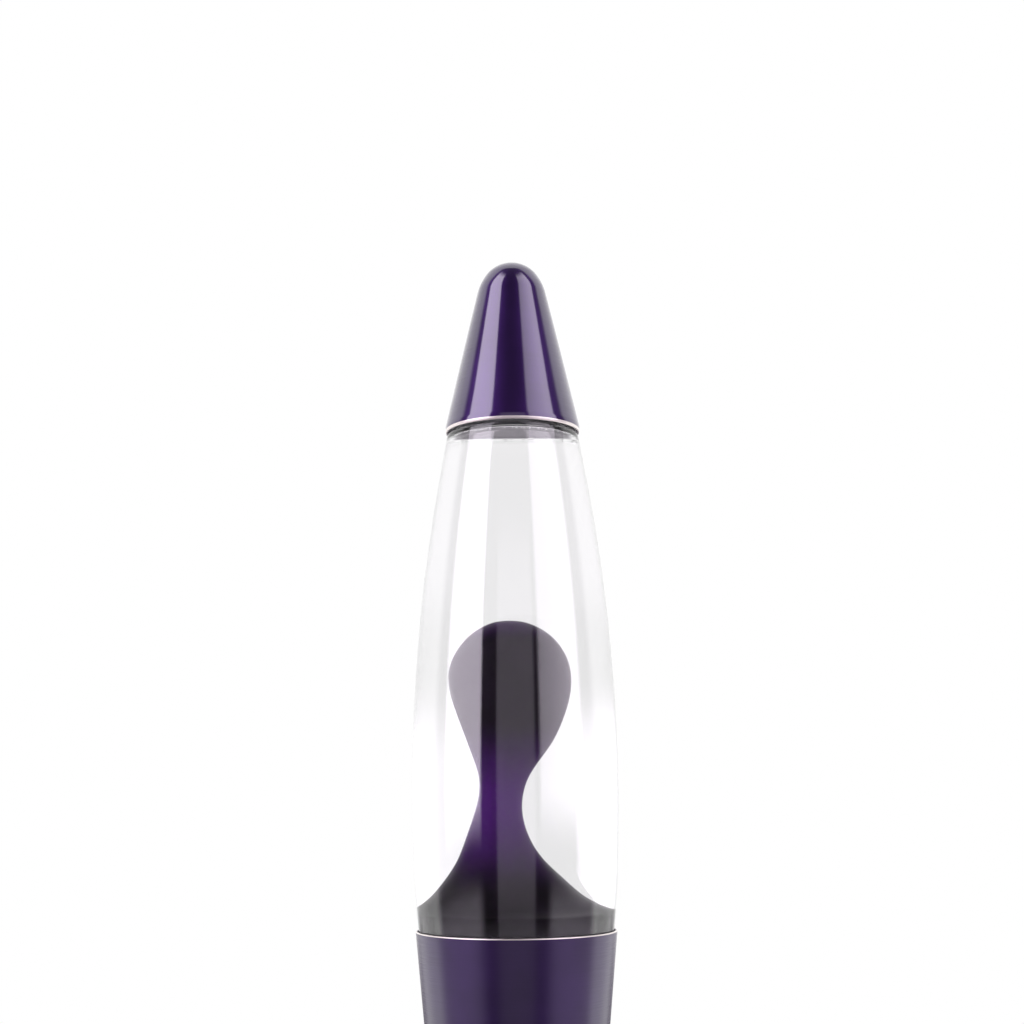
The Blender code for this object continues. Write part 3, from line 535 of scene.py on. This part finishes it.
def bottle_inside():
    """The bottle's inner outline, from the axis up to the mouth."""
    outline = Section("glass_bottle").outline
    if outline[0][1] < outline[-1][1]:
        outline = outline[::-1]
    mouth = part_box("glass_bottle")[1].z
    top = max(i for i, point in enumerate(outline) if point[1] > mouth - SAME)
    first = min(i for i, point in enumerate(outline) if point[1] > mouth - SAME)
    ways = (outline[:first + 1], outline[top:][::-1])
    return max(ways, key=lambda way: way[0][1])


def build_liquid(look, foam):
    """The liquid as one clear body that laps into the glass, its meniscus and a ring of small bubbles."""
    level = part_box("clear_liquid")[1].z
    lap = 0.2 * MM
    inside = [(r + lap, z) for r, z in bottle_inside() if z < level + SAME]
    inside[0] = (0.0, inside[0][1] - lap)
    wall = inside[-1][0] - 0.35 * MM
    meniscus = [(wall, level + 0.7 * MM), (wall - 0.4 * MM, level + 0.32 * MM),
                (wall - 0.9 * MM, level + 0.12 * MM), (wall - 1.8 * MM, level + 0.03 * MM),
                (wall - 3.0 * MM, level), (0.0, level)]
    line = fair(inside + meniscus, False, 0.05 * MM)
    form = rings_to_form(turn_line(line, LARGE), False)
    dice = random.Random(7)
    for _ in range(BUBBLES):
        angle = dice.uniform(0, 2 * math.pi)
        size = dice.uniform(*BUBBLE_R)
        reach = wall - dice.uniform(0.5, 1.5) * MM
        at = Vector((reach * math.cos(angle), reach * math.sin(angle), level - 1.3 * size))
        made = bmesh.ops.create_icosphere(form, subdivisions=2, radius=size, matrix=Matrix.Translation(at))
        for face in {face for vert in made["verts"] for face in vert.link_faces}:
            face.material_index = 1
    piece = add_object("clear_liquid_fine", mesh_from(form, "clear_liquid_fine"))
    stands_for(piece, "clear_liquid", look)
    piece.data.materials.append(foam)


def build_wax(look):
    """The wax column smoothed from its CAD form, with slow swells in its skin."""
    form = bmesh.new()
    form.from_mesh(NODES["wax"].data)
    bmesh.ops.remove_doubles(form, verts=form.verts, dist=SAME)
    bmesh.ops.join_triangles(form, faces=form.faces, angle_face_threshold=math.pi,
                             angle_shape_threshold=math.pi)
    piece = add_object("wax_fine", mesh_from(form, "wax_fine"))
    smooth = piece.modifiers.new("Smooth", "SUBSURF")
    smooth.levels = smooth.render_levels = 3
    bpy.context.view_layer.update()
    piece.data = bpy.data.meshes.new_from_object(piece.evaluated_get(bpy.context.evaluated_depsgraph_get()))
    piece.modifiers.clear()
    outward = [vertex.normal.copy() for vertex in piece.data.vertices]
    for vertex, normal in zip(piece.data.vertices, outward):
        vertex.co += normal * (noise.noise(vertex.co * 60.0) - 0.4) * WAX_SWELL
    piece.data.shade_smooth()
    stands_for(piece, "wax", look)


# ---------------------------------------------------------------- studio

def build_world():
    """A white backdrop, two tall softboxes beside the camera, a grey front and dark gaps between."""
    world = bpy.data.worlds.new("studio")
    world.use_nodes = True
    bpy.context.scene.world = world
    tree = world.node_tree
    tree.nodes.clear()
    place = add_node(tree, "ShaderNodeTexCoord")
    split = add_node(tree, "ShaderNodeSeparateXYZ")
    tree.links.new(place.outputs["Generated"], split.inputs["Vector"])
    towards_camera = combine(tree, "MULTIPLY", split.outputs["Y"], -1.0)
    azimuth = combine(tree, "ARCTAN2", split.outputs["X"], towards_camera)
    elevation = combine(tree, "ARCSINE", split.outputs["Z"], 0.0)
    width = combine(tree, "ABSOLUTE", azimuth, 0.0)

    def ramp(value, ends, first, last, smooth=True):
        """From one value to another between two angles in degrees."""
        return spread(tree, value, math.radians(ends[0]), math.radians(ends[1]), first, last, smooth)

    def window(value, ends, soft_low, soft_high):
        """1 between two angles in degrees, with soft edges of the given widths."""
        low, high = ends
        up = ramp(value, (low - soft_low / 2, low + soft_low / 2), 0.0, 1.0)
        down = ramp(value, (high - soft_high / 2, high + soft_high / 2), 1.0, 0.0)
        return combine(tree, "MULTIPLY", up, down)

    raised = ramp(elevation, LOW_HEIGHTS, 0.0, 1.0)
    left = combine(tree, "MULTIPLY", window(azimuth, LEFT_BOX, 3, 3), LEFT_STRENGTH)
    slope = ramp(azimuth, RIGHT_SLOPE, *RIGHT_STRENGTHS, smooth=False)
    right = combine(tree, "MULTIPLY", window(azimuth, RIGHT_BOX, 6, 4), slope)
    tall = window(elevation, BOX_HEIGHTS, 6, 14)
    boxes = combine(tree, "MULTIPLY", combine(tree, "ADD", left, right), tall)
    front = combine(tree, "MULTIPLY", window(azimuth, FRONT, 4, 5), window(elevation, FRONT_HEIGHTS, 20, 10))
    front = combine(tree, "MULTIPLY", front, spread(tree, raised, 0.0, 1.0, *FRONT_STRENGTHS, smooth=False))
    shade = combine(tree, "MULTIPLY", ramp(width, SHADE_EDGE, 0.0, 1.0),
                    ramp(elevation, SHADE_HEIGHTS, SHADE, 0.0))
    back = combine(tree, "MULTIPLY", ramp(width, BACK_EDGE, 0.0, BACK_STRENGTH),
                   combine(tree, "SUBTRACT", 1.0, shade))
    spill = combine(tree, "MULTIPLY", window(width, SPILL, 12, 12),
                    spread(tree, raised, 0.0, 1.0, SPILL_STRENGTH, 0.0))
    around = combine(tree, "ADD", combine(tree, "MAXIMUM", back, ROOM_STRENGTH), spill)
    light = combine(tree, "ADD", combine(tree, "ADD", boxes, front), around)

    path = add_node(tree, "ShaderNodeLightPath")
    bounced = combine(tree, "ADD", path.outputs["Diffuse Depth"], path.outputs["Glossy Depth"])
    seen = combine(tree, "LESS_THAN", bounced, 0.5)
    studio = add_node(tree, "ShaderNodeBackground")
    tree.links.new(light, studio.inputs["Strength"])
    backdrop = add_node(tree, "ShaderNodeBackground")
    mix = add_node(tree, "ShaderNodeMixShader")
    output = add_node(tree, "ShaderNodeOutputWorld")
    tint = blend_colours(tree, back, (0.95, 0.87, 1.0), (1.0, 1.0, 1.0))
    tree.links.new(tint, studio.inputs["Color"])
    backdrop.inputs["Color"].default_value = (1, 1, 1, 1)
    backdrop.inputs["Strength"].default_value = 1.0
    tree.links.new(seen, mix.inputs[0])
    tree.links.new(studio.outputs[0], mix.inputs[1])
    tree.links.new(backdrop.outputs[0], mix.inputs[2])
    tree.links.new(mix.outputs[0], output.inputs["Surface"])


def build_floor():
    """A pale round table top that fades out, and doesn't show in the lamp's polished metal."""
    form = bmesh.new()
    bmesh.ops.create_circle(form, cap_ends=True, segments=96, radius=TABLE_R)
    floor = add_object("floor", mesh_from(form, "floor"))
    look, tree, shader = new_look("pale_table")
    cloud = speckle(tree, 40.0, 4.0)
    colour = blend_colours(tree, cloud, (0.80, 0.80, 0.79), (0.86, 0.86, 0.85))
    tree.links.new(colour, shader.inputs["Base Color"])
    tree.links.new(relief(tree, speckle(tree, 700.0), 1e-5), shader.inputs["Normal"])
    shader.inputs["Roughness"].default_value = 0.6
    place = add_node(tree, "ShaderNodeTexCoord")
    far = add_node(tree, "ShaderNodeVectorMath", operation="LENGTH")
    tree.links.new(place.outputs["Object"], far.inputs[0])
    fade = spread(tree, far.outputs["Value"], TABLE_CLEAR_R, TABLE_R, 1.0, 0.0)
    tree.links.new(fade, shader.inputs["Alpha"])
    floor.data.materials.append(look)
    floor.visible_glossy = False


def build_camera():
    """The photograph's view: from below the cap, tilted up."""
    lens = bpy.data.cameras.new("camera")
    lens.lens = LENS
    lens.sensor_width = SENSOR_WIDTH
    camera = add_object("camera", lens)
    stance = Matrix.Rotation(math.pi / 2 + PITCH, 4, "X") @ Matrix.Rotation(ROLL, 4, "Z")
    camera.matrix_world = Matrix.Translation(CAMERA_AT) @ stance
    bpy.context.scene.camera = camera
    bpy.context.scene.view_settings.view_transform = "Standard"


# ---------------------------------------------------------------- building it all

# name: light tone, dark tone, roughness, metallic, grain per metre, depth of the grain
PLAIN_LOOKS = {
    "bright_steel": ((0.62, 0.62, 0.63), (0.50, 0.50, 0.51), 0.28, 1.0),
    "zinc_steel": ((0.66, 0.66, 0.64), (0.54, 0.54, 0.53), 0.36, 1.0),
    "brass": ((0.74, 0.55, 0.25), (0.62, 0.44, 0.18), 0.3, 1.0),
    "black_rubber": ((0.026, 0.026, 0.026), (0.016, 0.016, 0.016), 0.68, 0.0, 2400, 1e-5),
    "phenolic": ((0.03, 0.03, 0.03), (0.018, 0.018, 0.018), 0.4, 0.0, 1600, 6e-6),
    "black_plastic": ((0.035, 0.035, 0.037), (0.024, 0.024, 0.025), 0.5, 0.0, 2600, 1e-5),
    "white_plastic": ((0.82, 0.82, 0.79), (0.74, 0.74, 0.71), 0.45, 0.0, 1400, 4e-6),
    "black_vitreous": ((0.012, 0.012, 0.014), (0.006, 0.006, 0.007), 0.12, 0.0, 500, 3e-6),
    "solder": ((0.5, 0.5, 0.5), (0.38, 0.38, 0.39), 0.42, 1.0, 700, 2e-5),
    "tungsten": ((0.3, 0.3, 0.3), (0.22, 0.22, 0.22), 0.4, 1.0),
    "tinned_steel": ((0.7, 0.7, 0.7), (0.6, 0.6, 0.6), 0.24, 1.0, 700, 3e-6),
    "brown_sleeve": ((0.18, 0.07, 0.025), (0.13, 0.05, 0.018), 0.42),
    "blue_sleeve": ((0.02, 0.1, 0.38), (0.015, 0.07, 0.28), 0.42),
    "green_sleeve": ((0.06, 0.34, 0.07), (0.5, 0.45, 0.03), 0.42, 0.0, 600)}
SLOT_LOOKS = {name: general_look(name, *values) for name, values in PLAIN_LOOKS.items()}
SLOT_LOOKS["bulb_glass"] = reflector_bulb(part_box("bulb_glass")[1].z - SILVER_DEPTH)


def build_metalwork():
    """The cap and the base, dyed outside and bare inside."""
    bare = general_look("bare_aluminium", (0.90, 0.90, 0.91), (0.82, 0.82, 0.83), 0.6, 0.25, 700, 3e-6,
                        (1, 1, 30))
    cap = turned_copy("top_cap", anodised("purple_cap", CAP_RIM, 0.09, 1.78), LARGE)
    line_inside(cap, bare)
    base = turned_copy("base_shell", anodised("purple_base", BASE_RIM, 0.26, 1.6), LARGE)
    cut_base(base)
    line_inside(base, bare)


def build_contents():
    """What the bottle holds."""
    foam = general_look("bubbles", (0.92, 0.91, 0.93), (0.84, 0.83, 0.86), 0.2, 0.0, 2000, 2e-6)
    build_liquid(clear_fluid(), foam)
    build_wax(dark_wax(WAX_NECK_Z))


def build_fittings():
    """Round fittings and rubber are turned again; the other nodes keep their shape and get their look."""
    for node in ROUND_FITTINGS:
        turned_copy(node, SLOT_LOOKS[SLOTS[node]])
    for number in range(1, 5):
        turned_copy(f"rubber_foot_{number}", SLOT_LOOKS["black_rubber"], SMALL)
    turned_copy("cable_grommet", SLOT_LOOKS["black_rubber"], SMALL, axis=OUTLET)
    for node, thing in NODES.items():
        if node not in REPLACED:
            thing.material_slots[0].material = SLOT_LOOKS[SLOTS[node]]


build_camera()
build_world()
build_floor()
turned_copy("glass_bottle", clear_glass(), LARGE)
build_metalwork()
build_contents()
build_fittings()
